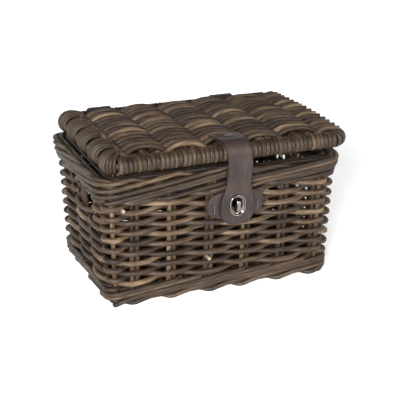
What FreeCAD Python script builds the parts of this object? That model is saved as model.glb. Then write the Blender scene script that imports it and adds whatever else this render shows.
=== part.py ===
"""Lidded basket of round rattan cane, with leather loop hinges, a leather closing strap and a turn lock.

Millimetres. +Z is up, +X is to the right and -Y is the front. The origin is on the ground under the middle
of the whole object. Woven stretches are plain sheets, one outside and one inside their stakes.
"""
import FreeCAD, Part
import math
import os

from FreeCAD import Vector

# ---- cane ----------------------------------------------------------------------------------------------
CANE = 7.0               # weaving cane, and so the thickness of a woven sheet
STAKE = 7.5              # upright stakes in the walls
PAIR_PITCH = 8.6         # between the two stakes of a pair
STAKE_PITCH = 60.0       # between one pair and the next
FRONT_PHASE = 40.0       # one pair of the front and of the back stands here along X
SIDE_PHASE = -40.0       # one pair of each side stands here along Y, in the hand hold
CORNER_TURN = 28.0       # how far round the corner from its middle each corner stake stands, in degrees

# ---- body ----------------------------------------------------------------------------------------------
RIM_WIDTH = 400.0        # outside of the top border, left to right
RIM_DEPTH = 276.0        # outside of the top border, front to back
CORNER_RADIUS = 34.0     # outside of the top border's corners
CORNER_TIGHTEN = 0.3     # how much the corners' radius drops for each millimetre of inset
FOOT_HEIGHT = 34.0       # foot border, from the ground
WALL_TOP = 176.0         # where the woven walls end and the top border starts
BORDER_TOP = 210.0
BORDER_THICK = 26.0      # top border, outside to inside
BORDER_FLARE = 16.0      # height over which the border flares out from the wall
GROUND_INSET = 22.0      # how far inside the rim each level of the outside lies
HEEL_INSET = 15.0
HEEL_Z = 12.0
WALL_FOOT_INSET = 13.5
WALL_HEAD_INSET = 6.0

# ---- base ----------------------------------------------------------------------------------------------
BASE_CANE = 6.0          # woven sheets of the base
BASE_STICK = 8.0         # sticks that the base is woven on
BASE_UNDER = 6.0         # underside of the base above the ground
BASE_STICKS = 6

# ---- hand holds ----------------------------------------------------------------------------------------
HAND_FRONT = -76.0       # ends of the opening along Y, from the body's middle
HAND_BACK = 2.0
HAND_LOW = 132.0

# ---- lid -----------------------------------------------------------------------------------------------
LID_LEFT_BACK = 10.0     # the lid's left edge lies this far inside the border's; its right edge is flush
LID_ROD = 12.0           # hoop that the lid is woven on
LID_EDGE = 26.0          # the hoop with the cane that is wound round it
LID_CORNER = 17.0        # bend of the hoop's centre line
LID_TURN_CLEAR = 0.5     # the lid's top clears the border by this when it is turned right over
RIB = 9.0
RIB_PITCH = 61.0
RIBS_EACH_SIDE = 2
RIB_RISE = 5.0           # middle of the ribs above the middle of the hoop

# ---- leather -------------------------------------------------------------------------------------------
LEATHER = 3.0
LOOP_WIDTH = 37.0
LOOP_X = [-115.0, 101.0]
LOOP_CLEAR = 0.6         # round the border, the lid's edge and cane that the loop passes through
LOOP_BEND = 2.0          # inside of the loop's lower bends
LOOP_LAP = 26.0          # height of the lap where the loop's ends are riveted
STRAP_X = 14.0
STRAP_WIDTH = 40.0
STRAP_END_WIDTH = 54.0
STRAP_TOP_WIDTH = 46.0
STRAP_CORNER = 13.0
STRAP_FLAT = 24.0        # how far the strap lies on the lid behind its bend
STRAP_CLEAR = 0.9        # under the strap where it lies on the lid
STRAP_BOTTOM = 119.0
STRAP_TAPER_Z = 150.0    # below this the strap has its end width
STRAP_NECK_Z = 186.0     # above this it has its own width
FLEX_GAP = 0.5           # between the strap's two stretches, at the line where it flexes
PATCH_WIDTH = 92.0
PATCH_HEIGHT = 45.0

# ---- rivets and wire -----------------------------------------------------------------------------------
RIVET_HEAD = 8.0
RIVET_HEAD_THICK = 1.6
RIVET_HEAD_ROUND = 1.0
RIVET_SHANK = 3.5
RIVET_PITCH = 12.0
WIRE = 1.6
WIRE_BITE = 3.0          # how far a stitch's legs go into the cane
PATCH_STITCH = 13.0
PATCH_STITCH_REACH = 35.0    # from the lock to each stitch of the patch
PATCH_STITCH_DROP = 4.0
ANCHOR_STITCH = 14.0
ANCHOR_STITCH_PITCH = 5.0
ANCHOR_STITCH_EDGE = 8.0     # from the strap's end to the middle of its stitches

# ---- turn lock -----------------------------------------------------------------------------------------
LOCK_Z = 149.0
PLATE_WIDTH, PLATE_HEIGHT, PLATE_THICK = 24.0, 32.0, 1.2
BACK_THICK = 1.0
SLOT_WIDTH, SLOT_HEIGHT = 11.0, 22.0
RING_WIDTH, RING_HEIGHT, RING_THICK = 26.0, 34.0, 2.2
WASHER_THICK = 0.9
LOCK_CLEAR = 0.4         # between the plate and the washer, and between the wings and the boss
BOSS_RADIUS = 4.6
SPINDLE_RADIUS = 2.0
SPINDLE_CLEAR = 0.05
PEEN_RADIUS = 3.4        # peened end that keeps the spindle in
PEEN_THICK = 0.8
PEEN_CLEAR = 0.3
WING_LENGTH, WING_WIDTH, WING_THICK = 18.0, 8.0, 5.0
WING_WAIST = 5.8

# ---- worked out ----------------------------------------------------------------------------------------
WALL_THICK = 2 * CANE + STAKE
INNER_INSET = WALL_FOOT_INSET + WALL_THICK
LID_WIDTH = RIM_WIDTH - LID_LEFT_BACK
LID_SHIFT = LID_LEFT_BACK / 2
LID_RISE = RIB_RISE + RIB / 2 + CANE        # top of the woven lid above the hoop's middle
LID_Z = BORDER_TOP + LID_TURN_CLEAR + max(LID_RISE, LID_EDGE / 2)
RIB_Z = LID_Z + RIB_RISE
HINGE_Y = RIM_DEPTH / 2 - BORDER_THICK / 2                        # the lid turns about its back edge
LID_FRONT_Y = -RIM_DEPTH / 2 + LID_EDGE / 2                       # middle of the hoop's front
LOOP_HALF = max(BORDER_THICK, LID_EDGE) / 2 + LOOP_CLEAR
LAP_Z = (WALL_TOP + BORDER_TOP) / 2
BACK_REACH = HINGE_Y + LOOP_HALF + 2 * LEATHER + RIVET_HEAD_THICK

# how far in front of the body's middle each layer of the lock lies
PATCH_BACK = RIM_DEPTH / 2 - WALL_HEAD_INSET + BACK_THICK + PEEN_THICK + 2 * PEEN_CLEAR
PATCH_FRONT = PATCH_BACK + LEATHER
PLATE_FRONT = PATCH_FRONT + PLATE_THICK
FLAP_BACK = PLATE_FRONT + LOCK_CLEAR + WASHER_THICK
FLAP_MID = FLAP_BACK + LEATHER / 2
FLAP_FRONT = FLAP_BACK + LEATHER
BOSS_FRONT = FLAP_FRONT + RING_THICK
WING_BACK = BOSS_FRONT + LOCK_CLEAR
WING_FRONT = WING_BACK + WING_THICK

STRAP_BEND = LID_RISE + STRAP_CLEAR + LEATHER / 2     # middle of the leather round the lid's front
BEND_Y = STRAP_BEND - FLAP_MID
STRAP_TOP = LID_Z + STRAP_BEND + LEATHER / 2
MID_Y = (WING_FRONT - BACK_REACH) / 2     # puts the origin under the whole object's middle

UP = Vector(0, 0, 1)
RIGHT = Vector(1, 0, 0)
FORWARD = Vector(0, -1, 0)
CORNERS = [(1, 1), (-1, 1), (-1, -1), (1, -1)]     # signs, anticlockwise from above


# ---- shapes --------------------------------------------------------------------------------------------
def point(x, y, z):
    """A point given from the body's middle, in the part's own frame."""
    return Vector(x, y + MID_Y, z)


def box(x0, x1, y0, y1, z0, z1):
    return Part.makeBox(x1 - x0, y1 - y0, z1 - z0, point(x0, y0, z0))


def rod(start, end, diameter):
    along = end - start
    return Part.makeCylinder(diameter / 2, along.Length, start, along)


def turned(degrees, radius):
    """A level vector of that length, that many degrees anticlockwise from +X."""
    return Vector(radius * math.cos(math.radians(degrees)), radius * math.sin(math.radians(degrees)), 0)


def quarter_arc(centre, radius, start):
    return Part.Arc(*[centre + turned(start + turn, radius) for turn in (0, 45, 90)]).toShape()


def group(shapes):
    return Part.makeCompound(shapes)


def joined(solids):
    return solids[0].fuse(solids[1:]).removeSplitter()


def biggest(shape):
    return max(shape.Solids, key=lambda solid: solid.Volume)


def corner_radius(inset):
    return CORNER_RADIUS - CORNER_TIGHTEN * inset


def straight_half(size, inset):
    """Half the straight stretch of a side that is size long at the rim."""
    return size / 2 - inset - corner_radius(WALL_FOOT_INSET)


def wall_inset(z):
    """How far inside the rim the wall's outer face lies at height z."""
    share = (z - FOOT_HEIGHT) / (WALL_TOP - FOOT_HEIGHT)
    return WALL_FOOT_INSET + share * (WALL_HEAD_INSET - WALL_FOOT_INSET)


def level(inset, z):
    """The body's outline at height z, that far inside the rim: a rectangle with quarter-round corners."""
    radius = corner_radius(inset)
    half_x, half_y = RIM_WIDTH / 2 - inset - radius, RIM_DEPTH / 2 - inset - radius
    centres = [point(sx * half_x, sy * half_y, z) for sx, sy in CORNERS]
    arcs = [quarter_arc(centre, radius, 90 * k) for k, centre in enumerate(centres)]
    edges = []
    for arc, following in zip(arcs, arcs[1:] + arcs[:1]):
        edges += [arc, Part.makeLine(arc.Vertexes[-1].Point, following.Vertexes[0].Point)]
    return Part.Wire(edges)


def stack(levels):
    """Solid through outlines given as (inset, z), from the lowest up."""
    return joined([Part.makeLoft([level(*a), level(*b)], True, True) for a, b in zip(levels, levels[1:])])


def shaft(inset, low, high):
    """Straight-sided solid inside the outline at that inset."""
    return Part.makeLoft([level(inset, low), level(inset, high)], True, True)


def upright(low, high):
    """A slanting stake with level ends."""
    reach = (high - low).normalize() * STAKE
    size = 2 * RIM_WIDTH
    keep = Part.makeBox(2 * size, 2 * size, high.z - low.z, Vector(-size, -size, low.z))
    return rod(low - reach, high + reach, STAKE).common(keep)


def oval(width, height, back, thick):
    """Upright plate with round ends at the lock; its back is that far in front of the body's middle."""
    radius = min(width, height) / 2
    reach_x, reach_z = width / 2 - radius, height / 2 - radius
    ends = [point(STRAP_X + s * reach_x, -back, LOCK_Z + s * reach_z) for s in (-1, 1)]
    discs = [Part.makeCylinder(radius, thick, end, FORWARD) for end in ends]
    half_x, half_z = reach_x or radius, reach_z or radius
    left, right = STRAP_X - half_x, STRAP_X + half_x
    middle = box(left, right, -back - thick, -back, LOCK_Z - half_z, LOCK_Z + half_z)
    return joined(discs + [middle])


def lock_cylinder(radius, back, front):
    """Round bar or bore along the lock's axis."""
    return Part.makeCylinder(radius, front - back, point(STRAP_X, -back, LOCK_Z), FORWARD)


def stitch(start, end, inward, depth):
    """A bent wire: it shows between start and end, and both its legs go inward by depth."""
    lift = inward * (-WIRE / 2)
    crown = rod(start + lift, end + lift, WIRE)
    legs = [rod(at + lift, at + inward * depth, WIRE) for at in (start, end)]
    bends = [Part.makeSphere(WIRE / 2, at + lift) for at in (start, end)]
    return joined([crown] + legs + bends)


def pierced(leather, stitches):
    """Leather with the holes that its wire stitches go through."""
    for wire in stitches:
        leather = leather.cut(wire)
    return leather


# ---- woven walls and their stakes ----------------------------------------------------------------------
def facing(side):
    """Size at the rim along a side, size across it, and the turn that brings the front round to it."""
    turn = {"front": 0, "right": 90, "back": 180, "left": 270}[side]
    along, across = (RIM_WIDTH, RIM_DEPTH) if side in ("front", "back") else (RIM_DEPTH, RIM_WIDTH)
    return along, across, turn


def wall_sheet(side, behind):
    """One woven sheet of a side, that far behind the wall's outer face."""
    along, across, turn = facing(side)
    outlines = []
    for z in (FOOT_HEIGHT, WALL_TOP):
        half = straight_half(along, wall_inset(z))
        outer = across / 2 - wall_inset(z) - behind
        corners = [(-half, outer), (half, outer), (half, outer - CANE), (-half, outer - CANE)]
        flat = [point(0, 0, z) + turned(turn, x) + turned(turn - 90, out) for x, out in corners]
        outlines.append(Part.makePolygon(flat + flat[:1]))
    return Part.makeLoft(outlines, True, True)


def corner_sheet(k, behind):
    """The quarter turn that a woven sheet makes round corner k of the body."""
    outer = corner_radius(WALL_FOOT_INSET) - behind
    outlines = []
    for z in (FOOT_HEIGHT, WALL_TOP):
        centre = corner_centre(k, z)
        far, near = (quarter_arc(centre, radius, 90 * k) for radius in (outer, outer - CANE))
        caps = [Part.makeLine(far.Vertexes[i].Point, near.Vertexes[i].Point) for i in (0, 1)]
        outlines.append(Part.Wire(Part.__sortEdges__([far, near] + caps)))
    return Part.makeLoft(outlines, True, True)


def corner_centre(k, z):
    sx, sy = CORNERS[k]
    inset = wall_inset(z)
    return point(sx * straight_half(RIM_WIDTH, inset), sy * straight_half(RIM_DEPTH, inset), z)


def pair_places(side):
    """Where the pairs of stakes stand along a side: every pitch, as far as the corners leave room."""
    phase = FRONT_PHASE if side in ("front", "back") else SIDE_PHASE
    room = straight_half(facing(side)[0], WALL_FOOT_INSET) - (PAIR_PITCH + STAKE) / 2
    first = math.ceil((-room - phase) / STAKE_PITCH)
    last = math.floor((room - phase) / STAKE_PITCH)
    return [phase + k * STAKE_PITCH for k in range(first, last + 1)]


def stake_pair(side, place):
    """Two stakes between the sheets of a wall, from the foot border to the top border."""
    across = facing(side)[1]
    out = {"front": (0, -1), "back": (0, 1), "left": (-1, 0), "right": (1, 0)}[side]
    solids = []
    for along in (place - PAIR_PITCH / 2, place + PAIR_PITCH / 2):
        ends = []
        for z in (FOOT_HEIGHT, WALL_TOP):
            reach = across / 2 - wall_inset(z) - CANE - STAKE / 2
            x = along * abs(out[1]) + reach * out[0]
            y = along * abs(out[0]) + reach * out[1]
            ends.append(point(x, y, z))
        solids.append(upright(*ends))
    return solids


def stakes(side):
    """All pairs of a side but the one that stands in a hand hold."""
    places = [p for p in pair_places(side) if side in ("front", "back") or p != SIDE_PHASE]
    solids = [stake for place in places for stake in stake_pair(side, place)]
    if side == "back":
        solids = [with_loop_room(stake) for stake in solids]
    return group(solids)


def corner_stakes():
    """Two stakes in each corner, between the sheets that turn round it."""
    radius = corner_radius(WALL_FOOT_INSET) - CANE - STAKE / 2
    solids = []
    for k in range(4):
        for turn in (-CORNER_TURN, CORNER_TURN):
            solids.append(upright(*[corner_centre(k, z) + turned(90 * k + 45 + turn, radius)
                                    for z in (FOOT_HEIGHT, WALL_TOP)]))
    return group(solids)


def hand_opening(side):
    x0, x1 = (-RIM_WIDTH, 0) if side == "left" else (0, RIM_WIDTH)
    return box(x0, x1, HAND_FRONT, HAND_BACK, HAND_LOW, WALL_TOP + 1)


def with_loop_room(shape):
    """Shape cut back where the hinge loops pass under the top border."""
    half = LOOP_WIDTH / 2 + LOOP_CLEAR
    low = WALL_TOP - LEATHER - 2 * LOOP_CLEAR
    for x in LOOP_X:
        shape = shape.cut(box(x - half, x + half, 0, RIM_DEPTH, low, WALL_TOP + 1))
    return shape


def woven_walls():
    made = {}
    for layer, behind in (("outer", 0.0), ("inner", CANE + STAKE)):
        for side in ("front", "back", "left", "right"):
            sheet = wall_sheet(side, behind)
            if side in ("left", "right"):
                sheet = sheet.cut(hand_opening(side))
            if side == "back":
                sheet = with_loop_room(sheet)
            made[f"{side}_{layer}_weave"] = sheet
        made[f"corner_{layer}_weave"] = group([corner_sheet(k, behind) for k in range(4)])
    return made


# ---- borders and base ----------------------------------------------------------------------------------
def foot_border():
    outside = stack([(GROUND_INSET, 0.0), (HEEL_INSET, HEEL_Z), (WALL_FOOT_INSET, FOOT_HEIGHT)])
    return outside.cut(shaft(INNER_INSET, -1.0, FOOT_HEIGHT + 1.0))


def top_border():
    outside = stack([(WALL_HEAD_INSET, WALL_TOP), (0.0, WALL_TOP + BORDER_FLARE), (0.0, BORDER_TOP)])
    return outside.cut(shaft(BORDER_THICK, WALL_TOP - 1.0, BORDER_TOP + 1.0))


def base_sheet(z):
    return shaft(INNER_INSET, z, z + BASE_CANE)


def base_sticks():
    half = RIM_WIDTH / 2 - INNER_INSET
    room = RIM_DEPTH - 2 * INNER_INSET - 2 * CORNER_RADIUS
    z = BASE_UNDER + BASE_CANE + BASE_STICK / 2
    places = [room * (k / (BASE_STICKS - 1) - 0.5) for k in range(BASE_STICKS)]
    return group([rod(point(-half, y, z), point(half, y, z), BASE_STICK) for y in places])


# ---- leather hinges ------------------------------------------------------------------------------------
def loop_outline(grow):
    """Outline of a hinge loop, seen along X, round the top border and the lid's back edge."""
    half, bend = LOOP_HALF + grow, LOOP_BEND + grow
    low = WALL_TOP - LOOP_CLEAR - grow
    front, back = HINGE_Y - half, HINGE_Y + half
    short = bend * (1 - math.sqrt(0.5))
    marks = {name: point(0, y, z) for name, y, z in [
        ("front_top", front, LID_Z), ("crown", HINGE_Y, LID_Z + half), ("back_top", back, LID_Z),
        ("front_low", front, low + bend), ("front_bend", front + short, low + short),
        ("sole_0", front + bend, low), ("sole_1", back - bend, low),
        ("back_bend", back - short, low + short), ("back_low", back, low + bend)]}
    return Part.Wire([
        Part.Arc(marks["back_top"], marks["crown"], marks["front_top"]).toShape(),
        Part.makeLine(marks["front_top"], marks["front_low"]),
        Part.Arc(marks["front_low"], marks["front_bend"], marks["sole_0"]).toShape(),
        Part.makeLine(marks["sole_0"], marks["sole_1"]),
        Part.Arc(marks["sole_1"], marks["back_bend"], marks["back_low"]).toShape(),
        Part.makeLine(marks["back_low"], marks["back_top"])])


def rivet_places(x):
    return [(x - RIVET_PITCH / 2, LAP_Z), (x + RIVET_PITCH / 2, LAP_Z)]


def hinge_loop(x):
    """A leather band closed on itself: its end laps over its start behind the basket."""
    x0, x1 = x - LOOP_WIDTH / 2, x + LOOP_WIDTH / 2
    band = Part.Face(loop_outline(LEATHER)).cut(Part.Face(loop_outline(0.0))).extrude(RIGHT * LOOP_WIDTH)
    band.translate(RIGHT * x0)
    face = HINGE_Y + LOOP_HALF + LEATHER
    lap = box(x0, x1, face, face + LEATHER, LAP_Z - LOOP_LAP / 2, LAP_Z + LOOP_LAP / 2)
    leather = joined([band, lap])
    for at, z in rivet_places(x):
        leather = leather.cut(rod(point(at, HINGE_Y, z), point(at, face + 2 * LEATHER, z), RIVET_SHANK))
    return leather


def hinge_rivets():
    inside = HINGE_Y + LOOP_HALF
    outside = inside + 2 * LEATHER
    solids = []
    for at, z in rivet_places(LOOP_X[0]) + rivet_places(LOOP_X[1]):
        shank = rod(point(at, inside, z), point(at, outside, z), RIVET_SHANK)
        head = rod(point(at, outside, z), point(at, outside + RIVET_HEAD_THICK, z), RIVET_HEAD)
        rim = max(head.Edges, key=lambda edge: edge.CenterOfMass.y)
        solids.append(joined([shank, head.makeFillet(RIVET_HEAD_ROUND, [rim])]))
    return group(solids)


# ---- the lid -------------------------------------------------------------------------------------------
def hoop(diameter):
    """The lid's edge, as thick as diameter: straight rods joined by quarter bends."""
    half_x = LID_WIDTH / 2 - LID_EDGE / 2 - LID_CORNER
    half_y = (HINGE_Y - LID_FRONT_Y) / 2 - LID_CORNER
    mid_y = (HINGE_Y + LID_FRONT_Y) / 2
    solids = []
    for k, (sx, sy) in enumerate(CORNERS):
        centre = point(LID_SHIFT + sx * half_x, mid_y + sy * half_y, LID_Z)
        bend = Part.makeTorus(LID_CORNER, diameter / 2, centre, UP, -180, 180, 90)
        bend.rotate(centre, UP, 90 * k)
        begin = centre + turned(90 * k, LID_CORNER)
        run = 2 * (half_x if k % 2 else half_y)
        solids += [bend, rod(begin - turned(90 * k + 90, run), begin, diameter)]
    return joined(solids)


def loop_swing_room(shape):
    """Shape with room for the hinge loops, which stand still while the lid turns about its back edge."""
    reach = math.hypot(LOOP_HALF + LEATHER, LID_RISE) + LOOP_CLEAR
    half = LOOP_WIDTH / 2 + LOOP_CLEAR
    for x in LOOP_X:
        shape = shape.cut(Part.makeCylinder(reach, 2 * half, point(x - half, HINGE_Y, LID_Z), RIGHT))
    return biggest(shape)


def lid_ribs(edge):
    places = [LID_SHIFT + k * RIB_PITCH for k in range(-RIBS_EACH_SIDE, RIBS_EACH_SIDE + 1)]
    ribs = [rod(point(x, LID_FRONT_Y, RIB_Z), point(x, HINGE_Y, RIB_Z), RIB).cut(edge) for x in places]
    return group([loop_swing_room(rib) for rib in ribs])


def lid_sheet(edge, low):
    half = LID_WIDTH / 2 - LID_EDGE / 2
    sheet = box(LID_SHIFT - half, LID_SHIFT + half, LID_FRONT_Y, HINGE_Y, low, low + CANE).cut(edge)
    return loop_swing_room(biggest(sheet))


def lid_parts():
    core, edge = hoop(LID_ROD), hoop(LID_EDGE)
    winding = edge.cut(core)
    reach = LID_WIDTH / 2 - LID_EDGE / 2 - LID_CORNER
    left, right, far, top = LID_SHIFT - reach, LID_SHIFT + reach, RIM_WIDTH, 2 * LID_Z
    return {
        "lid_hoop": core,
        "lid_front_winding": winding.common(box(left, right, -far, 0, 0, top)),
        "lid_back_winding": winding.common(box(left, right, 0, far, 0, top)),
        "lid_left_winding": winding.common(box(-far, left, -far, far, 0, top)),
        "lid_right_winding": winding.common(box(right, far, -far, far, 0, top)),
        "lid_ribs": lid_ribs(edge),
        "lid_upper_weave": lid_sheet(edge, RIB_Z + RIB / 2),
        "lid_lower_weave": lid_sheet(edge, RIB_Z - RIB / 2 - CANE),
    }


# ---- strap, patch and lock -----------------------------------------------------------------------------
def strap_anchor():
    """The stretch of the strap that is tied to the lid, with the bend over the lid's front edge."""
    narrow, wide = STRAP_WIDTH / 2, STRAP_TOP_WIDTH / 2
    axis = point(STRAP_X - narrow, BEND_Y, LID_Z)
    outer = Part.makeCylinder(STRAP_BEND + LEATHER / 2, STRAP_WIDTH, axis, RIGHT)
    inner = Part.makeCylinder(STRAP_BEND - LEATHER / 2, STRAP_WIDTH, axis, RIGHT)
    low = LID_Z + LEATHER / 2 + FLEX_GAP
    bend = outer.cut(inner).common(box(-RIM_WIDTH, RIM_WIDTH, -RIM_DEPTH, BEND_Y, low, 2 * LID_Z))
    under, far = STRAP_TOP - LEATHER, BEND_Y + STRAP_FLAT
    corners = [point(STRAP_X - narrow, BEND_Y, under), point(STRAP_X + narrow, BEND_Y, under),
               point(STRAP_X + wide, far, under), point(STRAP_X - wide, far, under)]
    flat = Part.Face(Part.makePolygon(corners + corners[:1])).extrude(UP * LEATHER)
    return pierced(joined([bend, flat]), anchor_stitches())


def anchor_stitches():
    """Wire stitches through the strap's end, side by side."""
    middle = BEND_Y + STRAP_FLAT - ANCHOR_STITCH_EDGE
    depth = STRAP_CLEAR + LEATHER + WIRE_BITE
    made = []
    for y in (middle - ANCHOR_STITCH_PITCH / 2, middle + ANCHOR_STITCH_PITCH / 2):
        left, right = (point(STRAP_X + s * ANCHOR_STITCH / 2, y, STRAP_TOP) for s in (-1, 1))
        made.append(stitch(left, right, UP * -1, depth))
    return made


def patch_stitches():
    """One upright wire stitch at each end of the patch."""
    middle = LOCK_Z - PATCH_STITCH_DROP
    depth = PATCH_FRONT - (RIM_DEPTH / 2 - wall_inset(LOCK_Z)) + WIRE_BITE
    made = []
    for x in (STRAP_X - PATCH_STITCH_REACH, STRAP_X + PATCH_STITCH_REACH):
        low, high = (point(x, -PATCH_FRONT, middle + s * PATCH_STITCH / 2) for s in (-1, 1))
        made.append(stitch(low, high, FORWARD * -1, depth))
    return made


def strap_flap():
    """The free end of the strap. It flexes about a line in front of the lid's edge."""
    narrow, wide = STRAP_WIDTH / 2, STRAP_END_WIDTH / 2
    outline = [(narrow, LID_Z), (narrow, STRAP_NECK_Z), (wide, STRAP_TAPER_Z), (wide, STRAP_BOTTOM)]
    right = [point(STRAP_X + half, -FLAP_BACK, z) for half, z in outline]
    left = [point(STRAP_X - half, -FLAP_BACK, z) for half, z in reversed(outline)]
    strip = Part.Face(Part.makePolygon(right + left + right[:1])).extrude(FORWARD * LEATHER)
    low_edges = [edge for edge in strip.Edges if edge.BoundBox.ZMax < STRAP_BOTTOM + 1]
    low_corners = [edge for edge in low_edges if edge.BoundBox.YLength > LEATHER / 2]
    ends = [point(STRAP_X + half, -FLAP_MID, LID_Z) for half in (-narrow, narrow)]
    nose = rod(*ends, LEATHER)
    return joined([strip.makeFillet(STRAP_CORNER, low_corners), nose]).cut(slot(FLAP_BACK, LEATHER))


def slot(back, thick):
    """The slot through one layer of the strap's end, drawn long so that it cuts clean."""
    return oval(SLOT_WIDTH, SLOT_HEIGHT, back - thick, 3 * thick)


def eyelet(back, thick):
    return oval(RING_WIDTH, RING_HEIGHT, back, thick).cut(slot(back, thick))


def lock_bore():
    """Room for the spindle, right through the lock."""
    return lock_cylinder(SPINDLE_RADIUS + SPINDLE_CLEAR, PATCH_BACK - BACK_THICK - 1, BOSS_FRONT + 1)


def lock_plate():
    """Plate on the patch with the hollow boss that the knob's spindle runs in."""
    plate = oval(PLATE_WIDTH, PLATE_HEIGHT, PATCH_FRONT, PLATE_THICK)
    return joined([plate, lock_cylinder(BOSS_RADIUS, PATCH_FRONT, BOSS_FRONT)]).cut(lock_bore())


def lock_knob():
    """Winged knob on its spindle. The wings stand in line with the strap's slot when it's open."""
    peen_front = PATCH_BACK - BACK_THICK - PEEN_CLEAR
    spindle = lock_cylinder(SPINDLE_RADIUS, peen_front - PEEN_THICK, WING_BACK + 1)
    peen = lock_cylinder(PEEN_RADIUS, peen_front - PEEN_THICK, peen_front)
    tip, wide, waist = WING_LENGTH / 2, WING_WIDTH / 2, WING_WAIST / 2
    half = [(waist, 0), (wide, tip / 2), (wide, tip)]
    right = [(x, -z) for x, z in reversed(half[1:])] + half
    around = right + [(-x, -z) for x, z in right]
    outline = [point(STRAP_X + x, -WING_BACK, LOCK_Z + z) for x, z in around]
    wings = Part.Face(Part.makePolygon(outline + outline[:1])).extrude(FORWARD * WING_THICK)
    return joined([wings.common(lock_cylinder(tip, WING_BACK, WING_FRONT)), spindle, peen])


def lock_parts():
    patch = oval(PATCH_WIDTH, PATCH_HEIGHT, PATCH_BACK, LEATHER)
    back_plate = oval(PLATE_WIDTH, PLATE_HEIGHT, PATCH_BACK - BACK_THICK, BACK_THICK)
    return {
        "lock_back_plate": back_plate.cut(lock_bore()),
        "lock_patch": pierced(patch, patch_stitches()).cut(lock_bore()),
        "patch_stitches": group(patch_stitches()),
        "lock_plate": lock_plate(),
        "lock_knob": lock_knob(),
        "strap_anchor": strap_anchor(),
        "anchor_stitches": group(anchor_stitches()),
        "strap_flap": strap_flap(),
        "eyelet_ring": eyelet(FLAP_FRONT, RING_THICK),
        "eyelet_washer": eyelet(FLAP_BACK - WASHER_THICK, WASHER_THICK),
    }


def body_parts():
    made = {
        "foot_border": foot_border(),
        "base_under_weave": base_sheet(BASE_UNDER),
        "base_sticks": base_sticks(),
        "base_upper_weave": base_sheet(BASE_UNDER + BASE_CANE + BASE_STICK),
        "corner_stakes": corner_stakes(),
        "top_border": top_border(),
        "left_hinge_loop": hinge_loop(LOOP_X[0]),
        "right_hinge_loop": hinge_loop(LOOP_X[1]),
        "hinge_rivets": hinge_rivets(),
    }
    for side in ("front", "back", "left", "right"):
        made[f"{side}_stakes"] = stakes(side)
    for side in ("left", "right"):
        made[f"{side}_hand_hold_stakes"] = group(stake_pair(side, SIDE_PHASE))
    return made


def main():
    os.makedirs("parts", exist_ok=True)
    nodes = {**body_parts(), **woven_walls(), **lid_parts(), **lock_parts()}
    for name, shape in sorted(nodes.items()):
        shape.exportStep(f"parts/{name}.step")
        sound = all(solid.isValid() and solid.Volume > 0 for solid in shape.Solids)
        state = "sound" if sound else "NOT SOUND"
        print(name, len(shape.Solids), "solids", round(shape.Volume / 1000, 2), "cm3", state)


main()
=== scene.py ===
"""Looks of a lidded wicker basket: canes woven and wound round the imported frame, leather and a turn lock.

Metres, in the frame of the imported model: +Z up, +X right, -Y front. MM turns a size in millimetres to metres.
"""
import math

import bmesh
import bpy
import numpy as np
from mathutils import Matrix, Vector


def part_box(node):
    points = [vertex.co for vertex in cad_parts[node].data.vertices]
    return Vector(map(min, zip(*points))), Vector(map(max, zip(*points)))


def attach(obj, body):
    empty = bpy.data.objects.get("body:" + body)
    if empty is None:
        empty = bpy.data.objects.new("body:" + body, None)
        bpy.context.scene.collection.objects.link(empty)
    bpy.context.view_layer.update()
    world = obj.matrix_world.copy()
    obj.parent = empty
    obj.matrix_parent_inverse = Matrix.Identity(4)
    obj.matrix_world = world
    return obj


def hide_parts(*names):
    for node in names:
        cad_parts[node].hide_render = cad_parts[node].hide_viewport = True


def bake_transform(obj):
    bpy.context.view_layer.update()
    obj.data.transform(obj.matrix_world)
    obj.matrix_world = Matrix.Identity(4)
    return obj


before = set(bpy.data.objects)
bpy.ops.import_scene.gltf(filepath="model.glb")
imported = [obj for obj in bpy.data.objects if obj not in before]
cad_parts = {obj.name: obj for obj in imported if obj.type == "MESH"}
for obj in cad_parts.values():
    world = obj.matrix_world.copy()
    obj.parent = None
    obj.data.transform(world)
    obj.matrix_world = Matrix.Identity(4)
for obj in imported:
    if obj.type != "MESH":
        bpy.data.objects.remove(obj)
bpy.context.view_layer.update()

MM = 0.001
SEED = 7

# ---- sizes read from the frame ----
RIM_LOW, RIM_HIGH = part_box("top_border")
WALL_LOW, WALL_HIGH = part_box("front_outer_weave")
FOOT_LOW, FOOT_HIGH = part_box("foot_border")
HOOP_LOW, HOOP_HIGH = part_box("lid_hoop")
EDGE_LOW, EDGE_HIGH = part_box("lid_front_winding")
FLAP_LOW, FLAP_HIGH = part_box("strap_flap")
ANCHOR_LOW, ANCHOR_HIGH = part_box("strap_anchor")
PATCH_LOW, PATCH_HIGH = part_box("lock_patch")
RING_LOW, RING_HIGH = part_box("eyelet_ring")
KNOB_LOW, KNOB_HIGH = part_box("lock_knob")
BASE_LOW, BASE_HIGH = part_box("base_under_weave")
STICK_LOW, STICK_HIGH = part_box("base_sticks")
LOOPS = [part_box("left_hinge_loop"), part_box("right_hinge_loop")]

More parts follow.
